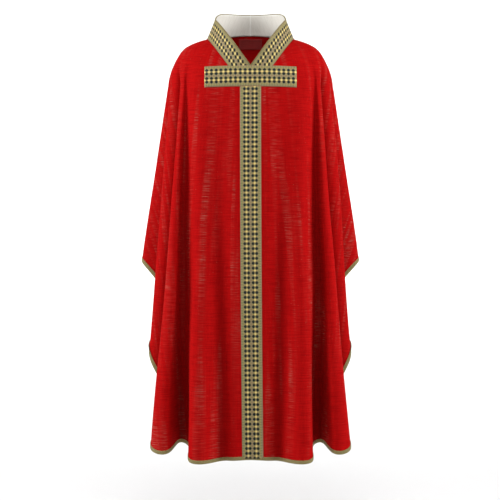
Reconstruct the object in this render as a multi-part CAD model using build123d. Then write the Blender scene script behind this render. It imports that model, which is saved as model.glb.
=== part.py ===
from build123d import *
import math
import os

# Gothic chasuble with a standing V collar, a tau cross of woven braid and a braided hem.
#
# Frame: +Z up, the front of the garment faces -Y and the wearer's left arm is on +X.
# The origin is the middle of the neck opening, level with the neck points, where the
# shoulder seams meet the collar. The garment hangs on its wearer or its stand there.
# All lengths are in millimetres, and all angles in degrees.

# Cloth and trimmings
CLOTH = 2.0                 # panel thickness
BRAID = 1.2                 # thickness of the woven braid
BRAID_WIDTH = 60.0          # collar, cross bar and orphrey braid
INTERLINING = 0.4           # stiff canvas inside the collar
COLLAR_LINING = 0.4         # cotton lining of the collar
COLLAR_EDGE = 2.4           # height of the binding on the collar's upper edge
COLLAR_EDGE_REACH = 1.0     # how far the binding stands out from the collar
TAPE = 0.6                  # thickness of the stay tapes, facings and the label
TAPE_WIDTH = 12.0
SEAM_ALLOWANCE = 1.0        # thickness of the turned-in edges under the stay tapes
HEM_BRAID = 0.8             # thickness of the hem braid
HEM_BRAID_WIDTH = 9.0
STITCH = 0.5                # width and height of a line of stitching
STITCH_INSET = 2.5          # from a braid's edge to its stitching
LABEL_HALF_WIDTH = 35.0
LABEL_HEIGHT = 28.0
LABEL_CLEARANCE = 1.2       # room between the label and the cloth
GAP = 0.25                  # air between two layers or two edges that are sewn together
NECK_SEAM = 0.8             # height between the cloth's edge and the collar

# Neck and collar
NECK_HALF_WIDTH = 128.0     # centre line to the neck point, at the collar's lower edge
BACK_NECK_RISE = 25.0       # lower edge of the collar at the centre back
V_DROP = 93.0               # down to the point of the V, at the collar's upper edge
MITRE_SHARE = 1.55          # the aslant braid's height on the centre line, in braid widths
COLLAR_SIDE_LEAN = 22.0     # how far the collar leans in beside the neck
COLLAR_SIDE_RISE = 59.0     # upper edge of the collar beside the neck
COLLAR_BACK_RISE = 84.0     # upper edge of the collar at the centre back
COLLAR_BACK_DEPTH = 82.0
COLLAR_TUCK = 5.5           # how far the collar's front end lies behind the cross bar
CROSS_BAR_HALF_LENGTH = 131.0

# Draped garment
HEM_DROP = 1219.0           # neck points down to the hem at the centre
WRIST_DROP = 652.0          # neck points down to the end of the shoulder seams
WRIST_HALF_WIDTH = 313.0    # centre line to the end of the shoulder seams
FRONT_DEPTH = 207.0         # shoulder seams to the deepest front fold
BACK_DEPTH = 190.0          # shoulder seams to the deepest back fold
YOKE_ROUNDING = 2.2         # exponent of the superellipse across the shoulders
FOLD_START = 80.0           # drop at which the folds begin to open
FOLD_OPENING = 0.75         # under 1 opens them early, 1 evenly down to the hem

# Shoulder line: drop below the neck points, and share of the way from neck to wrist
SHOULDER_LINE = (
    (-40.0, -0.19), (-25.0, -0.14), (0.0, 0.0), (8.0, 0.135), (17.0, 0.255), (28.0, 0.355),
    (44.0, 0.43), (70.0, 0.50), (126.0, 0.575), (267.0, 0.69), (480.0, 0.865), (652.0, 1.0),
    (900.0, 0.965), (1260.0, 0.96),
)
# Depth on the centre line: drop below the neck points, and share of the deepest fold
CENTRE_LINE = {
    "front": (
        (-40.0, 0.18), (0.0, 0.27), (20.0, 0.37), (50.0, 0.50), (93.0, 0.585), (150.0, 0.65),
        (250.0, 0.705), (400.0, 0.725), (1260.0, 0.75),
    ),
    "back": (
        (-40.0, 0.47), (-25.0, 0.50), (0.0, 0.57), (30.0, 0.64), (80.0, 0.705),
        (150.0, 0.75), (250.0, 0.775), (600.0, 0.82), (1260.0, 0.885),
    ),
}
# Fold lines from the centre to the side: bearing on the shoulders, then at the hem the
# share of the wrist's half width, the share of the deepest fold, and the share of the
# way down from the wrist to the full length
FOLDS = {
    "front": (
        (0.0, 0.0, 0.75, 1.0), (14.0, 0.166, 0.778, 1.0), (27.0, 0.313, 0.889, 0.998),
        (39.0, 0.438, 1.0, 1.0), (49.0, 0.524, 0.99, 0.993), (57.0, 0.588, 0.84, 0.975),
        (63.0, 0.665, 0.725, 0.955), (69.0, 0.767, 0.754, 0.952), (75.0, 0.856, 0.744, 0.914),
        (81.0, 0.923, 0.61, 0.72), (86.0, 0.958, 0.348, 0.37), (90.0, 0.965, 0.0, 0.0),
    ),
    "back": (
        (0.0, 0.0, 0.885, 1.0), (13.0, 0.144, 0.905, 1.0), (26.0, 0.281, 0.968, 1.0),
        (38.0, 0.409, 1.0, 0.998), (49.0, 0.511, 0.926, 0.985), (59.0, 0.626, 0.80, 0.965),
        (67.0, 0.748, 0.81, 0.95), (74.0, 0.847, 0.83, 0.90), (80.0, 0.92, 0.68, 0.71),
        (86.0, 0.958, 0.39, 0.37), (90.0, 0.965, 0.0, 0.0),
    ),
}
DEPTH = {"front": FRONT_DEPTH, "back": BACK_DEPTH}
FACING = {"front": -1, "back": 1}

# Rows and columns of points that the surfaces pass through
PANEL_COLUMNS = 73
PANEL_ROWS = 32
ROW_CROWDING = 1.5          # over 1 brings the rows closer together at the shoulders
COLLAR_COLUMNS = 49
BAND_STEP = 15.0            # between the columns of a band
NUDGE = 0.001               # share of a surface used to measure its slope


def along(table, at):
    """Value at one place of a line given by a few points, with a cubic between them."""
    at = min(max(at, table[0][0]), table[-1][0])
    i = max(k for k in range(len(table) - 1) if table[k][0] <= at)

    def step(k):
        return (table[k + 1][1] - table[k][1]) / (table[k + 1][0] - table[k][0])

    def slope(k):
        if k == 0 or k == len(table) - 1:
            return step(min(k, len(table) - 2))
        before, after = step(k - 1), step(k)
        return 0.0 if before * after <= 0 else 2 * before * after / (before + after)

    (x0, y0), (x1, y1) = table[i], table[i + 1]
    width = x1 - x0
    t = (at - x0) / width
    return (
        y0 * (1 + 2 * t) * (1 - t) ** 2
        + y1 * t * t * (3 - 2 * t)
        + width * slope(i) * t * (1 - t) ** 2
        - width * slope(i + 1) * t * t * (1 - t)
    )


def spaced(low, high, count):
    """Evenly spaced values from low to high, both included."""
    return [low + (high - low) * k / (count - 1) for k in range(count)]


def solve(function, low, high):
    """Where a rising function crosses zero between low and high, by halving."""
    for _ in range(40):
        middle = (low + high) / 2
        if function(middle) < 0:
            low = middle
        else:
            high = middle
    return (low + high) / 2


def shoulder_half_width(z):
    """Half width of the garment over the shoulder seam at a height."""
    share = along(SHOULDER_LINE, -z)
    return NECK_HALF_WIDTH + share * (WRIST_HALF_WIDTH - NECK_HALF_WIDTH)


def folds_open(z):
    """How far the folds have opened at a height, from 0 on the yoke to 1 at the hem."""
    share = (-z - FOLD_START) / (HEM_DROP - FOLD_START)
    return min(max(share, 0.0), 1.1) ** FOLD_OPENING


def mirrored(table, sign):
    """A line from the centre to the side, continued past the centre to the other side."""
    return [(-at, sign * value) for at, value in table[:0:-1]] + list(table)


def cloth(side, bearing, z):
    """Point of the cloth's outer face at a bearing from the centre line and a height."""
    half = shoulder_half_width(z)
    depth = along(CENTRE_LINE[side], -z) * DEPTH[side]
    opening, power = folds_open(z), 2 / YOKE_ROUNDING
    across, out = [], []
    for turn, x_share, y_share, _ in FOLDS[side]:
        yoke_x = half * math.sin(math.radians(turn)) ** power
        yoke_y = depth * abs(math.cos(math.radians(turn))) ** power if turn < 90 else 0.0
        hem_x, hem_y = x_share * WRIST_HALF_WIDTH, y_share * DEPTH[side]
        across.append((turn, yoke_x + opening * (hem_x - yoke_x)))
        out.append((turn, yoke_y + opening * (hem_y - yoke_y)))
    x = along(mirrored(across, -1), bearing)
    y = along(mirrored(out, 1), bearing)
    return Vector(x, FACING[side] * y, z)


def cloth_at(side, x, z):
    """Point of the cloth's outer face at a place across and a height."""
    return cloth(side, solve(lambda b: cloth(side, b, z).X - x, -89.0, 89.0), z)


def neck_height(side, x):
    """Height of the collar's lower edge at a place across."""
    share = min(abs(x) / NECK_HALF_WIDTH, 1.0)
    if side == "back":
        return BACK_NECK_RISE * (1 - share * share)
    return -(V_DROP + MITRE_SHARE * BRAID_WIDTH) * (1 - share)


def neck_edge(side, bearing):
    """Point where the collar meets the cloth at a bearing."""
    lowest = -(V_DROP + MITRE_SHARE * BRAID_WIDTH) - 1
    highest = BACK_NECK_RISE + 1

    def above(z):
        return z - neck_height(side, cloth(side, bearing, z).X)

    return cloth(side, bearing, solve(above, lowest, highest))


def hem_height(side, bearing):
    """Height of the hem at a bearing."""
    shares = [(turn, share) for turn, _, _, share in FOLDS[side]]
    share = along(mirrored(shares, 1), bearing)
    return -(WRIST_DROP + share * (HEM_DROP - WRIST_DROP))


def neck_to_hem(side):
    """The whole panel as a surface: from one shoulder seam to the other, and down."""
    tops = {}

    def point(across, down):
        bearing = 180 * across - 90
        if bearing not in tops:
            tops[bearing] = neck_edge(side, bearing).Z - NECK_SEAM
        top = tops[bearing]
        return cloth(side, bearing, top + down * (hem_height(side, bearing) - top))

    return point


def along_hem(side, low, high):
    """A strip along the hem, between two distances up from its edge."""

    def point(across, share):
        bearing = 180 * across - 90
        ends = [min(max(bearing + turn, -89.9), 89.9) for turn in (-0.1, 0.1)]
        before, after = [cloth(side, end, hem_height(side, end)) for end in ends]
        run = after - before
        rise = (low + share * (high - low)) * run.length / math.hypot(run.X, run.Y)
        return cloth(side, bearing, hem_height(side, bearing) + rise)

    return point


def seen_from(side, x_range, z_range):
    """A piece of cloth that is a rectangle when it is looked at from the front or back."""

    def point(across, down):
        x = x_range[0] + across * (x_range[1] - x_range[0])
        return cloth_at(side, x, z_range[0] + down * (z_range[1] - z_range[0]))

    return point


def over_seam(half_width, z_range):
    """A strip down the +X shoulder seam, half on the front cloth and half on the back."""

    def point(across, down):
        z = z_range[0] + down * (z_range[1] - z_range[0])
        y = half_width * (2 * across - 1)
        side = "back" if y > 0 else "front"
        bearing = solve(lambda b: abs(y) - abs(cloth(side, b, z).Y), 45.0, 90.0)
        return cloth(side, bearing, z)

    return point


def collar(turn, rise):
    """Point of the collar's +X half: turn goes from 0 at the centre front to 180 at the
    centre back, and rise from the collar's lower edge to its upper one. The upper edge
    repeats the neckline's plan, drawn in towards the neck."""
    side, bearing = ("front", turn) if turn < 90 else ("back", 180 - turn)
    lower = neck_edge(side, bearing)
    share = lower.X / NECK_HALF_WIDTH
    depth_share = lower.Y / neck_edge(side, 0).Y
    upper_x = (NECK_HALF_WIDTH - COLLAR_SIDE_LEAN) * share
    if side == "front":
        upper_y = (cloth(side, 0, -V_DROP).Y + COLLAR_TUCK) * depth_share
        upper_z = -V_DROP + (V_DROP + COLLAR_SIDE_RISE) * share
    else:
        upper_y = COLLAR_BACK_DEPTH * depth_share
        upper_z = COLLAR_SIDE_RISE + (COLLAR_BACK_RISE - COLLAR_SIDE_RISE) * (1 - share**2)
    return lower + (Vector(upper_x, upper_y, upper_z) - lower) * rise


def round_neck(low, high):
    """The +X half of the collar between two heights, as shares of its own height."""

    def point(across, down):
        return collar(180 * across, high + down * (low - high))

    return point


def lofted(rows):
    """A smooth face through rows of points."""
    knots = spaced(0, 1, len(rows[0]))
    curves = [Wire([Edge.make_spline(row, parameters=knots)]) for row in rows]
    return Shell.make_loft(curves).faces()[0]


def layer(surface, inner, outer, across, down):
    """One layer on a surface, from outset inner to outset outer, as a closed solid.

    across and down are the shares of the surface that its rows of points pass through.
    """

    def measured(u, v):
        u_low, u_high = max(u - NUDGE, across[0]), min(u + NUDGE, across[-1])
        v_low, v_high = max(v - NUDGE, down[0]), min(v + NUDGE, down[-1])
        run = surface(u_high, v) - surface(u_low, v)
        fall = surface(u, v_high) - surface(u, v_low)
        normal, here = run.cross(fall).normalized(), surface(u, v)
        outward = normal.dot(Vector(here.X, here.Y, 0)) > 0
        return here, normal if outward else -normal

    grid = [[measured(u, v) for u in across] for v in down]
    near, far = [
        lofted([[here + normal * outset for here, normal in row] for row in grid])
        for outset in (inner, outer)
    ]
    sides = []
    for edge in near.edges():
        facing = min(far.edges(), key=lambda other: (other.center() - edge.center()).length)
        sides.append(Face.make_surface_from_curves(edge, facing))
    return Solid(Shell([near, far, *sides]))


def make_panel(side):
    """The front or back panel, one piece of cloth from shoulder seam to shoulder seam."""
    down = [share**ROW_CROWDING for share in spaced(0, 1, PANEL_ROWS)]
    inset = GAP / (2 * WRIST_HALF_WIDTH)
    across = spaced(inset, 1 - inset, PANEL_COLUMNS)
    return layer(neck_to_hem(side), -CLOTH, 0, across, down)


def band(side, x_range, z_range, inner, outer):
    """A straight band on the outside or inside of a panel."""
    columns = max(4, round(abs(x_range[1] - x_range[0]) / BAND_STEP) + 1)
    rows = max(3, round(abs(z_range[1] - z_range[0]) / (2 * BAND_STEP)) + 1)
    surface = seen_from(side, x_range, z_range)
    return layer(surface, inner, outer, spaced(0, 1, columns), spaced(0, 1, rows))


def cross_bar_heights():
    """Top and bottom of the cross bar: it starts just under the V, in front and behind."""
    return -(V_DROP + GAP), -(V_DROP + GAP + BRAID_WIDTH)


def orphrey_heights(side):
    """Top and bottom of the band from the cross bar to the hem braid."""
    top = cross_bar_heights()[1] - GAP
    return top, hem_height(side, 0) + HEM_BRAID_WIDTH + GAP


def make_cross_bar(side):
    """The braid across the chest or the shoulder blades."""
    reach = CROSS_BAR_HALF_LENGTH
    return band(side, (-reach, reach), cross_bar_heights(), GAP, GAP + BRAID)


def make_orphrey(side):
    """The braid down the centre line."""
    half = BRAID_WIDTH / 2
    return band(side, (-half, half), orphrey_heights(side), GAP, GAP + BRAID)


def make_cross_stitching(side):
    """Four lines of stitching, along the long edges of the cross bar and the orphrey."""
    inner = GAP + BRAID + GAP
    outer = inner + STITCH
    reach = CROSS_BAR_HALF_LENGTH - STITCH_INSET
    top, bottom = cross_bar_heights()
    lines = [
        band(side, (-reach, reach), (top - STITCH_INSET, top - STITCH_INSET - STITCH), inner, outer),
        band(side, (-reach, reach), (bottom + STITCH_INSET + STITCH, bottom + STITCH_INSET), inner, outer),
    ]
    edge = BRAID_WIDTH / 2 - STITCH_INSET
    for x_range in ((-edge, -edge + STITCH), (edge - STITCH, edge)):
        lines.append(band(side, x_range, orphrey_heights(side), inner, outer))
    return Compound(lines)


def make_hem_strip(side, inner, outer, low, high):
    """A strip that follows the hem from one shoulder seam to the other."""
    inset = GAP / (2 * WRIST_HALF_WIDTH)
    across = spaced(inset, 1 - inset, PANEL_COLUMNS)
    return layer(along_hem(side, low, high), inner, outer, across, spaced(0, 1, 3))


def make_collar_layer(inner, outer, low=0.0, high=1.0, start=GAP / (2 * NECK_HALF_WIDTH)):
    """The +X half of one layer of the collar, between two shares of its height."""
    across = spaced(start, 1 - GAP / (2 * NECK_HALF_WIDTH), COLLAR_COLUMNS)
    return layer(round_neck(low, high), inner, outer, across, spaced(0, 1, 4))


def above_cross_bar(rise):
    """Share of the collar's length at which a line along it comes out over the cross bar."""
    return solve(lambda turn: collar(turn, rise).Z + V_DROP - STITCH, 0.0, 89.0) / 180


def collar_layers():
    """The +X half of each layer of the collar, by name. Its outer face is flush with
    the cloth's, and its layers together are as thick as the cloth."""
    canvas = -BRAID - INTERLINING
    lining = canvas - COLLAR_LINING
    top = 1 + GAP / BRAID_WIDTH
    edge = STITCH_INSET / BRAID_WIDTH
    line = STITCH / BRAID_WIDTH
    return {
        "collar_braid": make_collar_layer(-BRAID, 0),
        "collar_interlining": make_collar_layer(canvas, -BRAID - GAP / 5),
        "collar_lining": make_collar_layer(lining, canvas - GAP / 5),
        "collar_edge_binding": make_collar_layer(
            lining - COLLAR_EDGE_REACH, COLLAR_EDGE_REACH, top, top + COLLAR_EDGE / BRAID_WIDTH
        ),
        "collar_stitching": Compound([
            make_collar_layer(GAP, GAP + STITCH, low, low + line, above_cross_bar(low))
            for low in (edge, 1 - edge - line)
        ]),
    }


def make_seam_tape():
    """Stay tape inside the +X shoulder seam, from the collar to the wrist."""
    heights = (-TAPE_WIDTH, -WRIST_DROP + 5 * TAPE_WIDTH)
    outer = -CLOTH - SEAM_ALLOWANCE
    surface = over_seam(TAPE_WIDTH / 2, heights)
    return layer(surface, outer - TAPE, outer, spaced(0, 1, 5), spaced(0, 1, 24))


def make_neck_label():
    """Blank woven label inside the back, just under the collar."""
    top = neck_height("back", LABEL_HALF_WIDTH) - TAPE_WIDTH / 2
    inner = -CLOTH - LABEL_CLEARANCE - TAPE
    reach = (-LABEL_HALF_WIDTH, LABEL_HALF_WIDTH)
    return band("back", reach, (top, top - LABEL_HEIGHT), inner, inner + TAPE)


def make_parts():
    """Every piece of the chasuble, by node name."""
    parts = {}
    for side in ("front", "back"):
        inside = -CLOTH - 2 * GAP
        stitches = GAP + HEM_BRAID + GAP
        middle = (HEM_BRAID_WIDTH - STITCH) / 2
        parts[f"{side}_panel"] = make_panel(side)
        parts[f"{side}_cross_bar"] = make_cross_bar(side)
        parts[f"{side}_orphrey"] = make_orphrey(side)
        parts[f"{side}_cross_stitching"] = make_cross_stitching(side)
        parts[f"{side}_hem_braid"] = make_hem_strip(side, GAP, GAP + HEM_BRAID, 0, HEM_BRAID_WIDTH)
        parts[f"{side}_hem_facing"] = make_hem_strip(side, inside - TAPE, inside, 0, HEM_BRAID_WIDTH)
        parts[f"{side}_hem_stitching"] = make_hem_strip(
            side, stitches, stitches + STITCH, middle, middle + STITCH
        )
    half_collar = collar_layers()
    half_collar["shoulder_seam_tape"] = make_seam_tape()
    for name, piece in half_collar.items():
        parts[f"{name}_left"] = piece
        parts[f"{name}_right"] = mirror(piece, about=Plane.YZ)
    parts["neck_label"] = make_neck_label()
    return parts


os.makedirs("parts", exist_ok=True)
for node, shape in make_parts().items():
    export_step(shape, f"parts/{node}.step")
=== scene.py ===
"""Draped Gothic chasuble: two cloth panels, a standing V collar, braid and trimmings.

Every surface is worked out from one drape: fold lines run down the cloth from the
shoulders, and a smooth curve joins them round the garment at each height. All lengths
are in metres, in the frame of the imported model: +Z up, the front faces -Y, and the
origin is the middle of the neck opening.
"""

import logging
import math
from dataclasses import dataclass
from enum import Enum

import bpy
import numpy as np
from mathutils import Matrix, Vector


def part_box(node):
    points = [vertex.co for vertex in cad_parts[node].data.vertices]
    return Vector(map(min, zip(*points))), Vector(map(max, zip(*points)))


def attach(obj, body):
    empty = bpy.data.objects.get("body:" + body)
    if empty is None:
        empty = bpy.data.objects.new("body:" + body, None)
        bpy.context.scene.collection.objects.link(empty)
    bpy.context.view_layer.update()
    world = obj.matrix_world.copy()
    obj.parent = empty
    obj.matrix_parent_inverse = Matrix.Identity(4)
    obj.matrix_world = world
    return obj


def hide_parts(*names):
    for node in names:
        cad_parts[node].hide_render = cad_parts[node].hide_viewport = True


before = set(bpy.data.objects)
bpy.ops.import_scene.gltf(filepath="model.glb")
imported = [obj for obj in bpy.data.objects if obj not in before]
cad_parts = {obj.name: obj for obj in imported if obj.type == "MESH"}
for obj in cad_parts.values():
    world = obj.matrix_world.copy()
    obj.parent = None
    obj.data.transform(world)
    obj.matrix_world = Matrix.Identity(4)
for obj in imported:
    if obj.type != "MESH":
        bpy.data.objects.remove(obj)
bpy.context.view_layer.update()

BODY = "root"
LOG = logging.getLogger("chasuble")

MILLIMETRE = 0.001
CENTIMETRE = 0.01
WRIST_HALF_WIDTH = 0.313
BRAID_WIDTH = 60 * MILLIMETRE
STITCH_INSET = 2.5 * MILLIMETRE
STITCH_PITCH = 3.4 * MILLIMETRE
STITCH_LENGTH = 2.4 * MILLIMETRE
# Vertex value that paints shade into the cloth's folds: 0 on open cloth, 1 deep in a fold
PAINTED_FOLD_SHADE = "hollow"


# ---------------------------------------------------------------------------
# Curves and grids
# ---------------------------------------------------------------------------


class Side(Enum):
    """The two halves of the garment, either side of the shoulder seams."""

    FRONT = "front"
    BACK = "back"

    @property
    def facing(self) -> float:
        """Sign of Y on this side."""
        return -1.0 if self is Side.FRONT else 1.0


class Hand(Enum):
    """The wearer's left, on +X, and right."""

    LEFT = "left"
    RIGHT = "right"

    @property
    def sign(self) -> float:
        """Sign of X on this hand."""
        return 1.0 if self is Hand.LEFT else -1.0


def steady(levels: np.ndarray, values: np.ndarray, at: np.ndarray) -> np.ndarray:
    """Cubic through values that never overshoots them.

    Each slope is the harmonic mean of the steps on its two sides, or 0 at a peak, and a
    cubic joins each pair of values.

    Args:
        levels: Rising places, one for each row of values.
        values: Values at those places, with any further axes.
        at: Places to work out, of any shape.

    Returns:
        An array of at's shape followed by the further axes of values.
    """
    extra = (1,) * (values.ndim - 1)
    gaps = np.diff(levels).reshape(-1, *extra)
    steps = np.diff(values, axis=0) / gaps
    product = steps[:-1] * steps[1:]
    total = np.where(product > 0, steps[:-1] + steps[1:], 1.0)
    inner = np.where(product > 0, 2 * product / total, 0.0)
    slopes = np.concatenate([steps[:1], inner, steps[-1:]])
    place = np.clip(at, levels[0], levels[-1])
    index = np.clip(np.searchsorted(levels, place, side="right") - 1, 0, len(levels) - 2)
    width = gaps[index]
    share = ((place - levels[index]) / (levels[index + 1] - levels[index])).reshape(*at.shape, *extra)
    return (
        values[index] * (1 + 2 * share) * (1 - share) ** 2
        + values[index + 1] * share**2 * (3 - 2 * share)
        + width * slopes[index] * share * (1 - share) ** 2
        - width * slopes[index + 1] * share**2 * (1 - share)
    )


def eased(low: float, high: float, at: np.ndarray) -> np.ndarray:
    """0 below low, 1 above high, and 3t^2 - 2t^3 between them."""
    share = np.clip((at - low) / (high - low), 0.0, 1.0)
    return share * share * (3 - 2 * share)


@dataclass(frozen=True)
class SmoothCurve:
    """A natural cubic spline over fixed knots, as weights of its values.

    Its second derivatives solve the usual three-term equations, with 0 at both ends, so
    the value anywhere is a weighted sum of the values at the knots.
    """

    knots: np.ndarray

    def bends(self) -> np.ndarray:
        """Matrix that turns the values at the knots into second derivatives there."""
        count = len(self.knots)
        gaps = np.diff(self.knots)
        left, right = np.eye(count), np.zeros((count, count))
        for i in range(1, count - 1):
            before, after = gaps[i - 1], gaps[i]
            left[i, i - 1 : i + 2] = before, 2 * (before + after), after
            right[i, i - 1 : i + 2] = 6 / before, -6 / before - 6 / after, 6 / after
        return np.linalg.solve(left, right)

    def weights(self, at: np.ndarray) -> np.ndarray:
        """Weight of each knot's value at each place.

        Args:
            at: One axis of places.

        Returns:
            An array of places by knots.
        """
        index = np.clip(np.searchsorted(self.knots, at, side="right") - 1, 0, len(self.knots) - 2)
        width = (self.knots[index + 1] - self.knots[index])[:, None]
        share = ((at - self.knots[index])[:, None]) / width
        bends, whole = self.bends(), np.eye(len(self.knots))
        rest = 1 - share
        return (
            rest * whole[index]
            + share * whole[index + 1]
            + width**2 / 6 * (rest**3 - rest) * bends[index]
            + width**2 / 6 * (share**3 - share) * bends[index + 1]
        )


def unit(vectors: np.ndarray) -> np.ndarray:
    """The vectors at length 1."""
    return vectors / np.maximum(np.linalg.norm(vectors, axis=-1, keepdims=True), 1e-12)


def outward_normals(grid: np.ndarray) -> np.ndarray:
    """Normals of a grid of points, as the cross product of its two slopes.

    Args:
        grid: Points, as rows by columns by 3.

    Returns:
        Unit normals of the same shape, on the side away from the wearer.
    """
    normals = unit(np.cross(np.gradient(grid, axis=0), np.gradient(grid, axis=1)))
    flat = grid * np.array([1.0, 1.0, 0.0])
    if (normals * flat).sum() < 0:
        normals = -normals
    return normals


def run_lengths(grid: np.ndarray, axis: int) -> np.ndarray:
    """Length along each line of a grid from its first point."""
    steps = np.linalg.norm(np.diff(grid, axis=axis), axis=-1)
    start = np.zeros_like(np.take(steps, [0], axis=axis))
    return np.concatenate([start, np.cumsum(steps, axis=axis)], axis=axis)


def bulge(share: np.ndarray) -> np.ndarray:
    """0 at shares 0 and 1, and close to 1 over most of the way between them."""
    return np.clip(1 - np.abs(2 * share - 1) ** 6, 0, 1) ** 0.5


def edge_directions(grid: np.ndarray) -> tuple[np.ndarray, np.ndarray]:
    """Directions at each point of a grid's last row, which is an edge of the cloth.

    Args:
        grid: Points, as rows by columns by 3.

    Returns:
        Unit vectors on past the edge, and unit vectors out of the cloth.
    """
    normals = outward_normals(grid)[-1]
    run = unit(np.gradient(grid[-1], axis=0))
    out = unit(normals - run * (normals * run).sum(-1, keepdims=True))
    past = np.cross(out, run)
    return past * np.sign((past * (grid[-1] - grid[0])).sum(-1, keepdims=True)), out


# ---------------------------------------------------------------------------
# Meshes
# ---------------------------------------------------------------------------


@dataclass
class Sewing:
    """Makes meshes from grids of points and gives them a finish and a place in the frame."""

    body: str = BODY

    def quads(self, rows: int, columns: int, wrap: bool) -> np.ndarray:
        """Corner places of a grid's faces, as faces by 4 corners by (row, column).

        A wrapped grid joins its last column to its first, and the column number runs one
        past the last, so that a pattern doesn't turn back on the seam.
        """
        across = columns if wrap else columns - 1
        first = np.indices((rows - 1, across)).reshape(2, -1).T
        return first[:, None] + np.array([[0, 0], [1, 0], [1, 1], [0, 1]])

    def mesh(self, name: str, points: np.ndarray, faces: list, uvs: np.ndarray) -> bpy.types.Mesh:
        """One mesh with a UV map in metres.

        Args:
            name: Name of the mesh.
            points: Vertices, as count by 3.
            faces: Lists of vertex numbers.
            uvs: One UV for each corner of each face, in order.
        """
        made = bpy.data.meshes.new(name)
        made.from_pydata(points.tolist(), [], faces)
        layer = made.uv_layers.new(name="cloth_uv")
        layer.data.foreach_set("uv", np.asarray(uvs, np.float32).ravel())
        made.polygons.foreach_set("use_smooth", np.ones(len(made.polygons), bool))
        made.update()
        return made

    def mark(self, mesh: bpy.types.Mesh, name: str, values: np.ndarray) -> None:
        """Stores one number at each vertex of a mesh, for its finish to read."""
        layer = mesh.attributes.new(name, "FLOAT", "POINT")
        layer.data.foreach_set("value", np.asarray(values, np.float32).ravel())

    def slab(self, name: str, outer: np.ndarray, inner: np.ndarray, uv: np.ndarray) -> bpy.types.Mesh:
        """A closed thin sheet between two grids of points.

        Args:
            name: Name of the mesh.
            outer: Grid on the side away from the wearer.
            inner: Matching grid on the other side.
            uv: UV at each grid point, as rows by columns by 2.
        """
        rows, columns = outer.shape[:2]
        corners = self.quads(rows, columns, wrap=False)
        number = corners[..., 0] * columns + corners[..., 1]
        count = rows * columns
        a, b, c = (outer.reshape(-1, 3)[number[:, k]] for k in (0, 1, 2))
        through = (outer - inner).reshape(-1, 3)[number[:, 0]]
        if (np.cross(b - a, c - a) * through).sum() < 0:
            corners, number = corners[:, ::-1], number[:, ::-1]
        rim = np.concatenate(
            [
                np.stack([np.zeros(columns, int), np.arange(columns)], -1),
                np.stack([np.arange(1, rows), np.full(rows - 1, columns - 1)], -1),
                np.stack([np.full(columns - 1, rows - 1), np.arange(columns - 2, -1, -1)], -1),
                np.stack([np.arange(rows - 2, 0, -1), np.zeros(rows - 2, int)], -1),
            ]
        )
        after = np.roll(rim, -1, axis=0)
        first, second = rim[:, 0] * columns + rim[:, 1], after[:, 0] * columns + after[:, 1]
        wall = np.stack([first, second, second + count, first + count], -1)
        wall_corner = np.stack([rim, after, after, rim], 1)
        runs = set(zip(number.ravel().tolist(), np.roll(number, -1, axis=1).ravel().tolist()))
        if (first[0], second[0]) in runs:
            wall, wall_corner = wall[:, ::-1], wall_corner[:, ::-1]
        faces = np.concatenate([number, number[:, ::-1] + count, wall])
        places = np.concatenate([corners, corners[:, ::-1], wall_corner])
        uvs = uv[places[..., 0], places[..., 1]]
        points = np.concatenate([outer.reshape(-1, 3), inner.reshape(-1, 3)])
        return self.mesh(name, points, faces.tolist(), uvs)

    def tube(self, name: str, rings: np.ndarray, uv: np.ndarray) -> bpy.types.Mesh:
        """A closed tube through rings of points, with flat ends.

        Args:
            name: Name of the mesh.
            rings: Points, as rings by points on a ring by 3.
            uv: UV at each ring point, with one more column than rings.
        """
        rows, columns = rings.shape[:2]
        corners = self.quads(rows, columns, wrap=True)
        number = corners[..., 0] * columns + corners[..., 1] % columns
        points = rings.reshape(-1, 3)
        middle = np.repeat(rings.mean(1, keepdims=True), columns, 1).reshape(-1, 3)
        a, b, c = (points[number[:, k]] for k in (0, 1, 2))
        if (np.cross(b - a, c - a) * (a - middle[number[:, 0]])).sum() < 0:
            corners, number = corners[:, ::-1], number[:, ::-1]
            first, last = np.arange(columns), np.arange(columns)[::-1]
        else:
            first, last = np.arange(columns)[::-1], np.arange(columns)
        ends = [first.tolist(), (last + (rows - 1) * columns).tolist()]
        walls = uv[corners[..., 0], corners[..., 1]].reshape(-1, 2)
        uvs = np.concatenate([walls, uv[0, first], uv[-1, last]])
        return self.mesh(name, points, number.tolist() + ends, uvs)

    def carried(
        self, name: str, path: np.ndarray, over: np.ndarray, out: np.ndarray, profile: np.ndarray
    ) -> bpy.types.Mesh:
        """A closed profile carried along a path.

        Ring point = path + over * profile's first number + out * its second.

        Args:
            name: Name of the mesh.
            path: Points of the path.
            over: Unit vectors for the profile's first number.
            out: Unit vectors for its second.
            profile: Corners of the profile, as count by 2.
        """
        rings = (
            path[:, None]
            + over[:, None] * profile[None, :, :1]
            + out[:, None] * profile[None, :, 1:]
        )
        girth = run_lengths(np.concatenate([profile, profile[:1]])[None], 1)
        length = run_lengths(path[None], 1)[0][:, None]
        uv = np.stack(np.broadcast_arrays(girth, length), -1)
        return self.tube(name, rings, uv)

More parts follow.
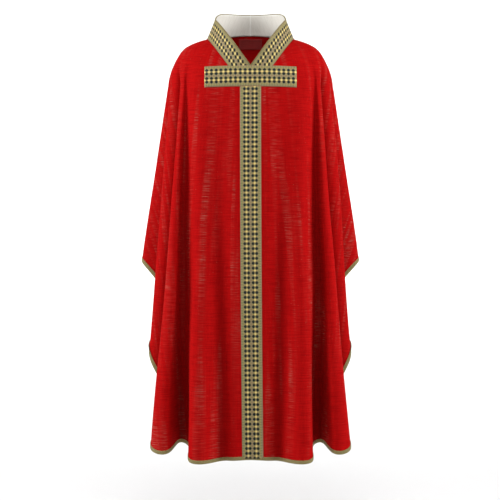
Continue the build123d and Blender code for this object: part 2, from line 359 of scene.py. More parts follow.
    def stitches(
        self,
        name: str,
        starts: np.ndarray,
        ends: np.ndarray,
        normals: np.ndarray,
        rise: float = 0.35 * MILLIMETRE,
        radius: float = 0.32 * MILLIMETRE,
    ) -> bpy.types.Mesh:
        """Many short threads in one mesh, each an arch that dips into the cloth.

        Middle line = start + share * (end - start) + normal * rise * sin(pi * share), and
        the thread's radius swells with the same sine.

        Args:
            name: Name of the mesh.
            starts: Where each stitch comes up, as count by 3.
            ends: Where it goes down.
            normals: The way out of the cloth.
            rise: Height of the arch.
            radius: Radius of the thread at the middle.
        """
        share = np.linspace(0.0, 1.0, 5)
        arch = np.sin(math.pi * share)
        sides = 6
        turn = np.arange(sides) * 2 * math.pi / sides
        run = unit(ends - starts)
        side = unit(np.cross(normals, run))
        out = unit(np.cross(run, side))
        line = starts[:, None] + (ends - starts)[:, None] * share[:, None]
        line = line + out[:, None] * (rise * arch)[:, None]
        size = (radius * (0.4 + 0.6 * arch))[None, :, None, None]
        spoke = side[:, None, None] * np.cos(turn)[:, None] + out[:, None, None] * np.sin(turn)[:, None]
        points = (line[:, :, None] + size * spoke).reshape(-1, 3)
        corners = self.quads(len(share), sides, wrap=True)[:, [0, 3, 2, 1]]
        first = np.arange(len(starts))[:, None, None] * len(share) * sides
        faces = (corners[..., 0] * sides + corners[..., 1] % sides)[None] + first
        ring = np.arange(sides)
        caps = np.stack([ring[::-1], ring + (len(share) - 1) * sides])[None] + first
        walls = np.stack([corners[..., 1] * radius, corners[..., 0] * radius * 4], -1)
        uv = np.concatenate(
            [
                np.tile(walls.reshape(-1, 2), (len(starts), 1)),
                np.zeros((2 * len(starts) * sides, 2)),
            ]
        )
        whole = faces.reshape(-1, 4).tolist() + caps.reshape(-1, sides).tolist()
        return self.mesh(name, points, whole, uv)

    def add(self, node: str, suffix: str, mesh: bpy.types.Mesh, finish: "Finish") -> bpy.types.Object:
        """Puts a mesh into the scene as a piece of the garment.

        Args:
            node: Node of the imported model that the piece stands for.
            suffix: What is added to the node's name for the piece's own.
            mesh: Its mesh, in place in the frame.
            finish: What it is made of.

        Returns:
            The piece.
        """
        piece = bpy.data.objects.new(f"{node}_{suffix}", mesh)
        bpy.context.scene.collection.objects.link(piece)
        mesh.materials.append(finish.material())
        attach(piece, self.body)
        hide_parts(node)
        LOG.info("%s: %d faces, %s", piece.name, len(mesh.polygons), finish.slot)
        return piece


# ---------------------------------------------------------------------------
# Finishes
# ---------------------------------------------------------------------------


class Field:
    """A number, colour or vector that varies over a surface, with Python's operators."""

    def __init__(self, dye: "Dye", socket: bpy.types.NodeSocket) -> None:
        """Holds one output socket of a node."""
        self.dye = dye
        self.socket = socket

    def maths(self, operation: str, *values: "Field | float") -> "Field":
        """One Math node on this value and others."""
        return self.dye.node("ShaderNodeMath", {"operation": operation}, *values)

    def __add__(self, other: "Field | float") -> "Field":
        """Sum."""
        return self.maths("ADD", self, other)

    __radd__ = __add__

    def __sub__(self, other: "Field | float") -> "Field":
        """Difference."""
        return self.maths("SUBTRACT", self, other)

    def __rsub__(self, other: float) -> "Field":
        """Difference from a number."""
        return self.maths("SUBTRACT", other, self)

    def __mul__(self, other: "Field | float") -> "Field":
        """Product."""
        return self.maths("MULTIPLY", self, other)

    __rmul__ = __mul__

    def __truediv__(self, other: "Field | float") -> "Field":
        """Quotient."""
        return self.maths("DIVIDE", self, other)

    def __abs__(self) -> "Field":
        """Size without sign."""
        return self.maths("ABSOLUTE", self)

    def fract(self) -> "Field":
        """Part after the point."""
        return self.maths("FRACT", self)

    def wave(self) -> "Field":
        """Sine."""
        return self.maths("SINE", self)

    def ribs(self, pitch: float) -> "Field":
        """Waves from 0 to 1 and back, one to each pitch."""
        return (self * (2 * math.pi / pitch)).wave() * 0.5 + 0.5

    def most(self, other: "Field | float") -> "Field":
        """The larger of two."""
        return self.maths("MAXIMUM", self, other)

    def least(self, other: "Field | float") -> "Field":
        """The smaller of two."""
        return self.maths("MINIMUM", self, other)

    def step(self, low: float, high: float) -> "Field":
        """0 at low, 1 at high and smooth between them; low may be the larger."""
        settings = {"interpolation_type": "SMOOTHSTEP"}
        return self.dye.node("ShaderNodeMapRange", settings, self, low, high, 0.0, 1.0)


class Dye:
    """Builds one material's nodes round a Principled shader."""

    def __init__(self, name: str) -> None:
        """Starts an empty material."""
        self.material = bpy.data.materials.new(name)
        self.material.use_nodes = True
        self.nodes = self.material.node_tree.nodes
        self.links = self.material.node_tree.links
        self.shader = self.nodes["Principled BSDF"]

    def put(self, socket: bpy.types.NodeSocket, value: "Field | float | tuple") -> None:
        """Links or sets one input socket."""
        if isinstance(value, Field):
            self.links.new(value.socket, socket)
        else:
            socket.default_value = value

    def node(self, kind: str, settings: dict, *values: object, output: int = 0, **named: object) -> Field:
        """One node of any type.

        Args:
            kind: Type of the node.
            settings: Its properties, set before its sockets.
            values: Values or links of its first sockets, in order; None skips one.
            output: Which output to return.
            named: Values or links of sockets by name.

        Returns:
            The output as a field.
        """
        made = self.nodes.new(kind)
        for key, value in settings.items():
            setattr(made, key, value)
        for socket, value in zip(made.inputs, values):
            if value is not None:
                self.put(socket, value)
        for key, value in named.items():
            self.put(made.inputs[key], value)
        return Field(self, made.outputs[output])

    def cloth_uv(self) -> tuple[Field, Field]:
        """Places across and along the piece, in metres."""
        uv = self.node("ShaderNodeUVMap", {"uv_map": "cloth_uv"})
        across = self.node("ShaderNodeSeparateXYZ", {}, uv, output=0)
        along = self.node("ShaderNodeSeparateXYZ", {}, uv, output=1)
        return across, along

    def marked(self, name: str) -> Field:
        """The number stored at each vertex of the piece under a name."""
        return self.node("ShaderNodeAttribute", {"attribute_name": name}, output=2)

    def place(self, x: Field | float, y: Field | float, z: Field | float = 0.0) -> Field:
        """A vector from three numbers."""
        return self.node("ShaderNodeCombineXYZ", {}, x, y, z)

    def noise(self, place: Field, scale: float, detail: float = 2.0, rough: float = 0.5) -> Field:
        """Soft noise from 0 to 1 at a place."""
        named = {"Vector": place, "Scale": scale, "Detail": detail, "Roughness": rough}
        return self.node("ShaderNodeTexNoise", {}, **named)

    def grain(
        self, uv: tuple[Field, Field], across: float, along: float, seed: float = 0.0, detail: float = 1.0
    ) -> Field:
        """Noise with its own number of grains to a metre each way."""
        return self.noise(self.place(uv[0] * across, uv[1] * along, seed), 1.0, detail)

    def blend(self, share: Field | float, first: object, second: object) -> Field:
        """A colour between two."""
        made = self.nodes.new("ShaderNodeMix")
        made.data_type = "RGBA"
        self.put(made.inputs[0], share)
        self.put(made.inputs[6], first)
        self.put(made.inputs[7], second)
        return Field(self, made.outputs[2])

    def dress(
        self, colour: Field, rough: Field, height: Field, depth: float, strength: float, **others: object
    ) -> bpy.types.Material:
        """Gives the shader its colour, roughness and relief.

        Args:
            colour: Base colour.
            rough: Roughness.
            height: Relief, about 0 to 1.
            depth: Height in metres of a relief of 1.
            strength: Share of the relief that shows.
            others: The shader's other sockets; an underscore stands for a space.

        Returns:
            The finished material.
        """
        bump = self.node("ShaderNodeBump", {}, Height=height, Distance=depth, Strength=strength)
        sockets = {"Base Color": colour, "Roughness": rough, "Normal": bump, **others}
        for key, value in sockets.items():
            self.put(self.shader.inputs[key.replace("_", " ")], value)
        return self.material


@dataclass(frozen=True)
class Finish:
    """What a piece is made of: its slot, which names its material, and one shared material."""

    slot: str

    def material(self) -> bpy.types.Material:
        """The finish's material, made once."""
        found = bpy.data.materials.get(self.slot + "_finish")
        return found or self.make(Dye(self.slot + "_finish"))

    def make(self, dye: Dye) -> bpy.types.Material:
        """Builds the material's nodes."""
        raise NotImplementedError


@dataclass(frozen=True)
class SlubCloth(Finish):
    """Wool cloth with fine weft lines and scattered pale slubs, and painted shade deep in its folds."""

    slot: str = "cloth"
    red: tuple = (0.42, 0.0035, 0.0035, 1.0)
    deep: tuple = (0.30, 0.0015, 0.002, 1.0)
    rose: tuple = (0.36, 0.05, 0.036, 1.0)
    pale: tuple = (0.36, 0.17, 0.13, 1.0)
    # Painted shade: the near-black red that the cloth is darkened towards deep in its folds
    fold: tuple = (0.020, 0.0, 0.0, 1.0)
    thread: float = 1.5 * MILLIMETRE

    def make(self, dye: Dye) -> bpy.types.Material:
        """Weft lines of uneven tone, with pale dashes where the slub yarn comes up, and painted shade
        that darkens the cloth deep in its folds.
        """
        uv = across, along = dye.cloth_uv()
        weft, warp = along.ribs(self.thread), across.ribs(self.thread)
        lines = dye.grain(uv, 20.0, 330.0, detail=2.0)
        strand = dye.grain(uv, 210.0, 12.0, 3.0)
        dash = dye.grain(uv, 22.0, 420.0, 7.0)
        fleck = dye.grain(uv, 190.0, 240.0, 11.0)
        cloud = dye.noise(dye.place(across, along * 0.6), 9.0, 2.0)
        column = dye.grain(uv, 34.0, 2.0, 5.0)
        patch = (cloud.step(0.40, 0.62) * 0.75 + 0.25) * column.step(0.46, 0.64)
        slub = dash.step(0.50, 0.72) * patch
        spark = fleck.step(0.68, 0.82) * (0.25 + 0.75 * cloud.step(0.35, 0.6))
        tone = (lines * 0.8 + strand * 0.2).step(0.30, 0.62)
        ground = dye.blend(tone, self.deep, self.red)
        haze = dye.blend(patch * lines.step(0.40, 0.60) * 0.25, ground, self.rose)
        flecked = dye.blend(spark * 0.30, haze, self.pale)
        colour = dye.blend(slub * (0.12 + strand * 0.42), flecked, self.pale)
        # Painted shade: the cloth darkens towards near black where it lies deep in its folds
        colour = dye.blend(dye.marked(PAINTED_FOLD_SHADE), colour, self.fold)
        height = weft * 0.5 + warp * 0.35 + slub * 0.6 + lines * 0.5
        sheen = {"Sheen_Weight": 0.04, "Sheen_Roughness": 0.4, "Sheen_Tint": (1.0, 0.05, 0.04, 1.0)}
        depth = 0.30 * MILLIMETRE
        return dye.dress(colour, 0.86 - slub * 0.30, height, depth, 0.6, Specular_IOR_Level=0.03, **sheen)


@dataclass(frozen=True)
class WovenBraid(Finish):
    """Gold braid with two chains of dark lozenges between ladder-stitched borders."""

    slot: str = "braid"
    width: float = BRAID_WIDTH
    pitch: float = 13.8 * MILLIMETRE
    rung: float = 4.6 * MILLIMETRE
    khaki: tuple = (0.28, 0.235, 0.105, 1.0)
    green: tuple = (0.105, 0.135, 0.050, 1.0)
    gold: tuple = (0.52, 0.30, 0.045, 1.0)
    bright: tuple = (0.86, 0.74, 0.28, 1.0)
    cream: tuple = (0.42, 0.36, 0.17, 1.0)
    navy: tuple = (0.001, 0.003, 0.010, 1.0)
    pine: tuple = (0.001, 0.016, 0.009, 1.0)
    rose: tuple = (0.38, 0.20, 0.13, 1.0)
    chains: tuple = (0.302, 0.698)
    lozenge_offset: float = 0.088

    def lozenge(self, away: Field, along: Field, half_width: float, half_length: float) -> Field:
        """1 inside a lozenge: its two distances, as shares of its size, add up to under 1."""
        return (away / half_width + along / half_length).step(1.12, 0.84)

    def make(self, dye: Dye) -> bpy.types.Material:
        """Lozenges repeat along the braid, gold ones half a pitch after the dark pairs."""
        uv = across, along = dye.cloth_uv()
        share = across / self.width
        beat = along / self.pitch
        dark_run = abs(beat.fract() - 0.5)
        gold_run = abs((beat + 0.5).fract() - 0.5)
        threads, picks = across.ribs(1.5 * MILLIMETRE), along.ribs(1.1 * MILLIMETRE)
        wear = dye.grain(uv, 260.0, 260.0, detail=2.0)
        ladder = abs((along / self.rung).fract() - 0.5).step(0.14, 0.32)
        colour = dye.blend(wear.step(0.38, 0.62) * threads, self.khaki, self.green)
        colour = dye.blend(wear.step(0.58, 0.72) * 0.55, colour, self.rose)
        height = threads * 0.3
        for centre in self.chains:
            away = abs(share - centre)
            cross = self.lozenge(away, gold_run, 0.150, 0.52)
            colour = dye.blend(cross * (0.45 + picks * 0.5), colour, self.gold)
            bright = self.lozenge(away, gold_run, 0.058, 0.26)
            colour = dye.blend(bright * (0.55 + wear * 0.5).least(1.0), colour, self.bright)
            height = height + bright * 0.8 + cross * 0.3
            for sign in (-1.0, 1.0):
                off = abs(share - (centre + sign * self.lozenge_offset))
                halo = self.lozenge(off, dark_run, 0.125, 0.60)
                colour = dye.blend(halo * (0.3 + threads * 0.5), colour, self.cream)
                dark = self.lozenge(off, dark_run, 0.094, 0.45)
                shade = dye.blend(wear.step(0.45, 0.6), self.navy, self.pine)
                colour = dye.blend(dark, colour, shade)
                height = height - dark * 0.5
        middle = abs(share - 0.5)
        divider = middle.step(0.034, 0.022)
        colour = dye.blend(divider * 0.75, colour, dye.blend(ladder, self.khaki, self.rose))
        border = middle.step(0.376, 0.392)
        edge = dye.blend(ladder * (0.6 + wear * 0.4), self.green, self.cream)
        edge = dye.blend(middle.step(0.455, 0.470) * (0.2 + ladder * 0.7), edge, self.rose)
        edge = dye.blend(abs(middle - 0.398).step(0.014, 0.006) * 0.5, edge, self.gold)
        colour = dye.blend(border, colour, edge)
        colour = dye.blend(threads * picks * 0.22, colour, self.pine)
        metal = (height * 0.2).least(0.2).most(0.0)
        raised = height + picks * 0.25 + ladder * border * 0.6
        others = {"Metallic": metal, "Specular_IOR_Level": 0.3}
        return dye.dress(colour, 0.66 - height * 0.12, raised, 0.5 * MILLIMETRE, 0.8, **others)


@dataclass(frozen=True)
class EdgingBraid(Finish):
    """Narrow gold and green edging, woven in slanting stripes."""

    slot: str = "hem_braid"
    gold: tuple = (0.36, 0.28, 0.10, 1.0)
    green: tuple = (0.09, 0.085, 0.022, 1.0)
    stripe: float = 3.0 * MILLIMETRE

    def make(self, dye: Dye) -> bpy.types.Material:
        """Slanting stripes, with fine threads across them."""
        across, along = dye.cloth_uv()
        slant = (along + across * 0.6).ribs(self.stripe)
        threads = (along - across).ribs(0.8 * MILLIMETRE)
        wear = dye.noise(dye.place(across, along), 60.0, 3.0)
        colour = dye.blend(slant.step(0.25, 0.75), self.green, self.gold)
        colour = dye.blend(threads * 0.3 * wear, colour, self.green)
        others = {"Sheen_Weight": 0.1, "Specular_IOR_Level": 0.35}
        raised = slant * 0.8 + threads * 0.3
        return dye.dress(colour, 0.70 - slant * 0.2, raised, 0.5 * MILLIMETRE, 0.8, **others)


@dataclass(frozen=True)
class PlainWeave(Finish):
    """Plain cloth of one colour: a checked weave with a few thick threads."""

    colour: tuple = (0.8, 0.77, 0.7, 1.0)
    shade: tuple = (0.6, 0.57, 0.5, 1.0)
    thread: float = 0.9 * MILLIMETRE
    depth: float = 0.2 * MILLIMETRE

    def make(self, dye: Dye) -> bpy.types.Material:
        """Warp and weft waves that take turns on top."""
        uv = across, along = dye.cloth_uv()
        turn = 2 * math.pi / self.thread
        weave = (across * turn).wave() * (along * turn).wave() * 0.5 + 0.5
        cloud = dye.grain(uv, 40.0, 300.0, detail=3.0)
        colour = dye.blend(weave * 0.5 + cloud.step(0.4, 0.7) * 0.4, self.colour, self.shade)
        others = {"Sheen_Weight": 0.2, "Specular_IOR_Level": 0.25}
        return dye.dress(colour, 0.85 - cloud * 0.1, weave + cloud * 0.5, self.depth, 0.6, **others)


CLOTH = SlubCloth()
BRAID = WovenBraid()
EDGING = EdgingBraid()
LINING = PlainWeave("lining", (0.80, 0.78, 0.72, 1.0), (0.66, 0.63, 0.56, 1.0))
CANVAS = PlainWeave("canvas", (0.62, 0.56, 0.42, 1.0), (0.40, 0.35, 0.25, 1.0), 1.4 * MILLIMETRE)
TAPE = PlainWeave("tape", (0.40, 0.012, 0.012, 1.0), (0.24, 0.005, 0.006, 1.0), 0.8 * MILLIMETRE)
LABEL = PlainWeave("label", (0.34, 0.025, 0.022, 1.0), (0.22, 0.012, 0.012, 1.0), 0.5 * MILLIMETRE)
THREAD = PlainWeave("thread", (0.52, 0.40, 0.16, 1.0), (0.30, 0.22, 0.07, 1.0), 0.4 * MILLIMETRE)


# ---------------------------------------------------------------------------
# The drape
# ---------------------------------------------------------------------------


@dataclass(frozen=True)
class FoldLine:
    """One line down the cloth, from the shoulders to the hem.

    Each place is across and out from the shoulder seams, in centimetres, at the heights
    in FOLD_HEIGHTS. The drop is the hem's depth below the neck, in centimetres. The
    bearing, in degrees from the centre line, sets the line's place on the shoulders.
    """

    name: str
    bearing: float
    places: tuple[tuple[float, float], ...]
    drop: float


FOLD_HEIGHTS = (-0.14, -0.36, -0.65, -1.20)

FRONT_LINES = (
    FoldLine("centre", 0, ((0, 13.0), (0, 14.2), (0, 15.0), (0, 15.2)), 121.3),
    FoldLine("beside_orphrey", 11, ((4.6, 13.1), (4.6, 14.5), (4.7, 15.5), (4.9, 16.0)), 121.4),
    FoldLine("shallow_valley", 22, ((9.2, 12.5), (8.9, 13.6), (8.6, 14.1), (8.2, 14.3)), 121.7),
    FoldLine("front_ridge", 33, ((13.4, 11.8), (13.7, 13.9), (13.9, 15.6), (14.3, 18.9)), 122.0),
    FoldLine("front_turn", 41, ((15.8, 10.9), (15.8, 13.0), (16.4, 14.2), (17.5, 16.8)), 121.2),
    FoldLine("tuck", 45, ((17.2, 9.8), (17.3, 11.2), (18.0, 11.9), (17.4, 12.0)), 118.4),
    FoldLine("deep_valley", 49, ((18.3, 8.8), (18.8, 9.4), (19.7, 9.6), (20.2, 9.0)), 117.2),
    FoldLine("side_ridge", 54, ((19.3, 8.8), (20.3, 11.3), (21.9, 13.8), (23.9, 17.2)), 119.4),
    FoldLine("side_turn", 59, ((20.2, 7.5), (21.8, 9.8), (24.1, 11.8), (28.3, 14.4)), 118.0),
    FoldLine("hidden_turn", 65, ((20.0, 6.2), (19.9, 7.1), (21.0, 7.6), (23.6, 8.2)), 108.0),
    FoldLine("arm_ridge", 69, ((21.7, 6.4), (23.1, 8.0), (25.0, 9.2), (28.5, 10.6)), 96.8),
    FoldLine("arm_turn", 73, ((23.2, 4.9), (25.2, 6.1), (27.2, 7.1), (31.2, 8.2)), 89.8),
    FoldLine("hidden_arm_turn", 80, ((22.8, 3.4), (22.2, 4.2), (23.0, 4.6), (24.0, 5.2)), 79.5),
    FoldLine("wrist_turn", 87, ((24.1, 1.6), (27.1, 2.0), (31.4, 2.3), (36.0, 2.6)), 65.6),
    FoldLine("seam", 90, ((24.3, 0), (27.6, 0), (31.7, 0), (36.6, 0)), 64.6),
)

BACK_LINES = (
    FoldLine("centre", 0, ((0, 14.2), (0, 15.0), (0, 15.8), (0, 16.6)), 121.0),
    FoldLine("beside_orphrey", 11, ((4.8, 14.0), (4.8, 14.6), (4.8, 15.2), (4.8, 15.6)), 121.2),
    FoldLine("shallow_ridge", 22, ((9.2, 13.4), (9.0, 14.9), (9.0, 16.4), (8.8, 17.6)), 121.4),
    FoldLine("back_ridge", 34, ((13.2, 12.3), (13.4, 14.8), (13.4, 17.0), (13.0, 19.0)), 121.2),
    FoldLine("back_turn", 41, ((16.0, 10.8), (16.2, 13.0), (16.4, 15.0), (16.4, 17.0)), 120.0),
    FoldLine("tuck", 45, ((17.2, 9.8), (17.2, 11.2), (17.0, 12.2), (16.4, 12.6)), 118.0),
    FoldLine("deep_valley", 49, ((18.0, 9.1), (18.2, 10.0), (18.6, 10.6), (18.8, 10.4)), 117.0),
    FoldLine("side_ridge", 54, ((19.1, 8.7), (20.0, 10.8), (21.4, 12.6), (23.4, 15.2)), 118.8),
    FoldLine("side_turn", 59, ((19.9, 7.6), (21.2, 9.6), (23.2, 11.0), (26.8, 12.8)), 116.8),
    FoldLine("hidden_turn", 65, ((19.6, 6.3), (19.5, 7.2), (20.4, 7.4), (22.4, 8.0)), 106.0),
    FoldLine("arm_ridge", 69, ((21.6, 6.2), (22.8, 7.7), (24.5, 8.8), (27.6, 10.0)), 95.6),
    FoldLine("arm_turn", 73, ((23.0, 4.9), (24.8, 6.0), (26.6, 6.8), (30.2, 7.8)), 89.0),
    FoldLine("hidden_arm_turn", 80, ((22.6, 3.4), (22.0, 4.1), (22.6, 4.5), (23.4, 5.0)), 79.0),
    FoldLine("wrist_turn", 87, ((24.1, 1.6), (27.1, 1.9), (31.3, 2.0), (35.8, 2.2)), 65.6),
    FoldLine("seam", 90, ((24.3, 0), (27.6, 0), (31.7, 0), (36.6, 0)), 64.6),
)

# Shoulder line: height, and share of the way from the neck point to the wrist
SHOULDER = np.array(
    [
        (-0.652, 1.0), (-0.480, 0.865), (-0.267, 0.69), (-0.126, 0.575), (-0.070, 0.50),
        (-0.044, 0.43), (-0.028, 0.355), (-0.017, 0.255), (-0.008, 0.135), (0.0, 0.0),
        (0.025, -0.14), (0.040, -0.19),
    ]
)
# Depth of the garment on the centre line, as a share of its deepest fold
CENTRE_DEPTH = {
    Side.FRONT: np.array(
        [
            (-1.26, 0.75), (-0.40, 0.725), (-0.25, 0.705), (-0.15, 0.65), (-0.093, 0.585),
            (-0.05, 0.50), (-0.02, 0.37), (0.0, 0.27), (0.04, 0.18),
        ]
    ),
    Side.BACK: np.array(
        [
            (-1.26, 0.885), (-0.60, 0.82), (-0.25, 0.775), (-0.15, 0.75), (-0.08, 0.705),
            (-0.03, 0.64), (0.0, 0.57), (0.025, 0.50), (0.04, 0.47),
        ]
    ),
}


@dataclass
class Drape:
    """The whole draped cloth as a surface of a place round the panel and a height.

    The place runs from -1 at one shoulder seam, through 0 on the centre line, to 1 at the
    other seam. On the shoulders the cloth follows a superellipse. Lower down it follows
    the fold lines, joined by a natural cubic spline.
    """

    neck_half_width: float
    wrist_half_width: float
    depths: dict
    v_drop: float
    mitre: float
    back_neck_rise: float
    rounding: float = 2.2
    folds_from: float = -0.050
    folds_full: float = -0.160
    seen_reach: float = 0.62
    seen_samples: int = 401
    halvings: int = 30

    @classmethod
    def from_frame(cls) -> "Drape":
        """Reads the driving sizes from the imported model."""
        front_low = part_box("front_panel")[0]
        back_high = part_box("back_panel")[1]
        collar_low, collar_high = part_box("collar_braid_left")
        bar_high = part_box("front_cross_bar")[1]
        return cls(
            neck_half_width=collar_high.x,
            wrist_half_width=WRIST_HALF_WIDTH,
            depths={Side.FRONT: -front_low.y, Side.BACK: back_high.y},
            v_drop=-bar_high.z,
            mitre=bar_high.z - collar_low.z,
            back_neck_rise=back_high.z,
        )

    def lines(self, side: Side) -> tuple[FoldLine, ...]:
        """The fold lines of one side, from the centre to the seam."""
        return FRONT_LINES if side is Side.FRONT else BACK_LINES

    def knots(self, side: Side) -> np.ndarray:
        """Place of each fold line, by its distance along the cloth at the wrist's height."""
        wrist = np.array([line.places[2] for line in self.lines(side)], float)
        steps = np.linalg.norm(np.diff(wrist, axis=0), axis=1) ** 0.8
        half = np.concatenate([[0.0], np.cumsum(steps)]) / steps.sum()
        return np.concatenate([-half[:0:-1], half])

    def both_hands(self, half: np.ndarray, sign: float) -> np.ndarray:
        """Values of the fold lines, last axis, continued to the other hand."""
        return np.concatenate([sign * half[..., :0:-1], half], axis=-1)

    def yoke(self, side: Side, height: np.ndarray) -> tuple[np.ndarray, np.ndarray]:
        """Places of the fold lines on the shoulders' superellipse."""
        share = steady(SHOULDER[:, 0], SHOULDER[:, 1], height)
        half = self.neck_half_width + share * (self.wrist_half_width - self.neck_half_width)
        table = CENTRE_DEPTH[side]
        depth = steady(table[:, 0], table[:, 1], height) * self.depths[side]
        bearing = np.radians([line.bearing for line in self.lines(side)])
        power = 2 / self.rounding
        across = half[:, None] * np.sin(bearing) ** power
        out = depth[:, None] * np.maximum(np.cos(bearing), 0.0) ** power
        return across, out

    def plan(self, side: Side, around: np.ndarray, height: np.ndarray) -> np.ndarray:
        """Points of the cloth.

        Args:
            side: Front or back.
            around: Places round the panel, on one axis.
            height: Height at each place.

        Returns:
            Points, as places by 3.
        """
        places = np.array([line.places for line in self.lines(side)], float) * CENTIMETRE
        levels = np.array(FOLD_HEIGHTS)[::-1]
        hung = steady(levels, places.transpose(1, 0, 2)[::-1], height)
        across, out = self.yoke(side, height)
        share = eased(self.folds_from, self.folds_full, height)[:, None]
        across = across + share * (hung[..., 0] - across)
        out = out + share * (hung[..., 1] - out)
        weights = SmoothCurve(self.knots(side)).weights(around)
        x = (weights * self.both_hands(across, -1.0)).sum(-1)
        y = (weights * self.both_hands(out, 1.0)).sum(-1)
        return np.stack([x, side.facing * y, height], -1) + self.ease(side, around, height)

    def ease(self, side: Side, around: np.ndarray, height: np.ndarray) -> np.ndarray:
        """Small unevenness of hand-hung cloth: slow waves that differ left and right."""
        low = eased(-0.12, -0.60, height)
        edge = eased(0.10, 0.30, np.abs(around)) * (1 - eased(0.93, 1.0, np.abs(around)))
        phase = 0.0 if side is Side.FRONT else 1.7
        sway = 0.0022 * np.sin(5.3 * height + 3.1 * around + phase)
        sway += 0.0012 * np.sin(11.0 * height - 7.0 * around + 2.0 * phase)
        swell = 0.0028 * np.sin(7.1 * height + 9.0 * around + 1.0 + phase)
        swell += 0.0014 * np.sin(17.0 * height + 16.0 * around + 0.4)
        zero = np.zeros_like(height)
        return (low * edge)[:, None] * np.stack([sway, swell, zero], -1)

    def grid(self, side: Side, around: np.ndarray, heights: np.ndarray) -> np.ndarray:
        """Points at every place of a grid of heights by places round the panel."""
        wide = np.broadcast_to(around, heights.shape)
        flat = self.plan(side, wide.ravel(), heights.ravel())
        return flat.reshape(*heights.shape, 3)

    def hem(self, side: Side, around: np.ndarray) -> np.ndarray:
        """Height of the hem at places round the panel."""
        drops = np.array([line.drop for line in self.lines(side)]) * CENTIMETRE
        weights = SmoothCurve(self.knots(side)).weights(around)
        return -(weights * self.both_hands(drops, 1.0)).sum(-1)

    def neckline(self, side: Side, across: np.ndarray) -> np.ndarray:
        """Height of the collar's lower edge at places across: a V in front, a bow behind."""
        share = np.minimum(np.abs(across) / self.neck_half_width, 1.0)
        if side is Side.FRONT:
            return -(self.v_drop + self.mitre) * (1 - share)
        return self.back_neck_rise * (1 - share**2)

    def neck(self, side: Side, around: np.ndarray) -> np.ndarray:
        """Points where the collar meets the cloth, found by halving the height."""
        low = np.full_like(around, -(self.v_drop + self.mitre) - 0.001)
        high = np.full_like(around, self.back_neck_rise + 0.001)
        for _ in range(self.halvings):
            middle = (low + high) / 2
            across = self.plan(side, around, middle)[:, 0]
            under = middle < self.neckline(side, across)
            low, high = np.where(under, middle, low), np.where(under, high, middle)
        return self.plan(side, around, (low + high) / 2)

    def seen_from(self, side: Side, across: np.ndarray, heights: np.ndarray) -> np.ndarray:
        """Cloth behind a grid of places across and heights, near the centre line.

        Args:
            side: Front or back.
            across: Places across, as rows by columns.
            heights: Heights, of the same shape.

        Returns:
            Points, as rows by columns by 3.
        """
        fine = np.linspace(-self.seen_reach, self.seen_reach, self.seen_samples)
        rows = []
        for row_across, row_heights in zip(across, heights):
            level = self.plan(side, fine, np.full_like(fine, row_heights.mean()))
            guess = np.interp(row_across, level[:, 0], fine)
            rows.append(self.plan(side, guess, row_heights))
        return np.array(rows)


# ---------------------------------------------------------------------------
# The garment's pieces
# ---------------------------------------------------------------------------


@dataclass(frozen=True)
class Cut:
    """The flat size that a piece of cloth was cut to, and how it is held."""

    piece: bpy.types.Object
    flat: tuple[float, float]
    held: str
    rests_on: tuple[str, ...]
    area: float | None = None

    def declare(self) -> None:
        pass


@dataclass
class Piece:
    """A piece of the garment, shaped by the drape and sewn into the scene."""

    drape: Drape
    sewing: Sewing


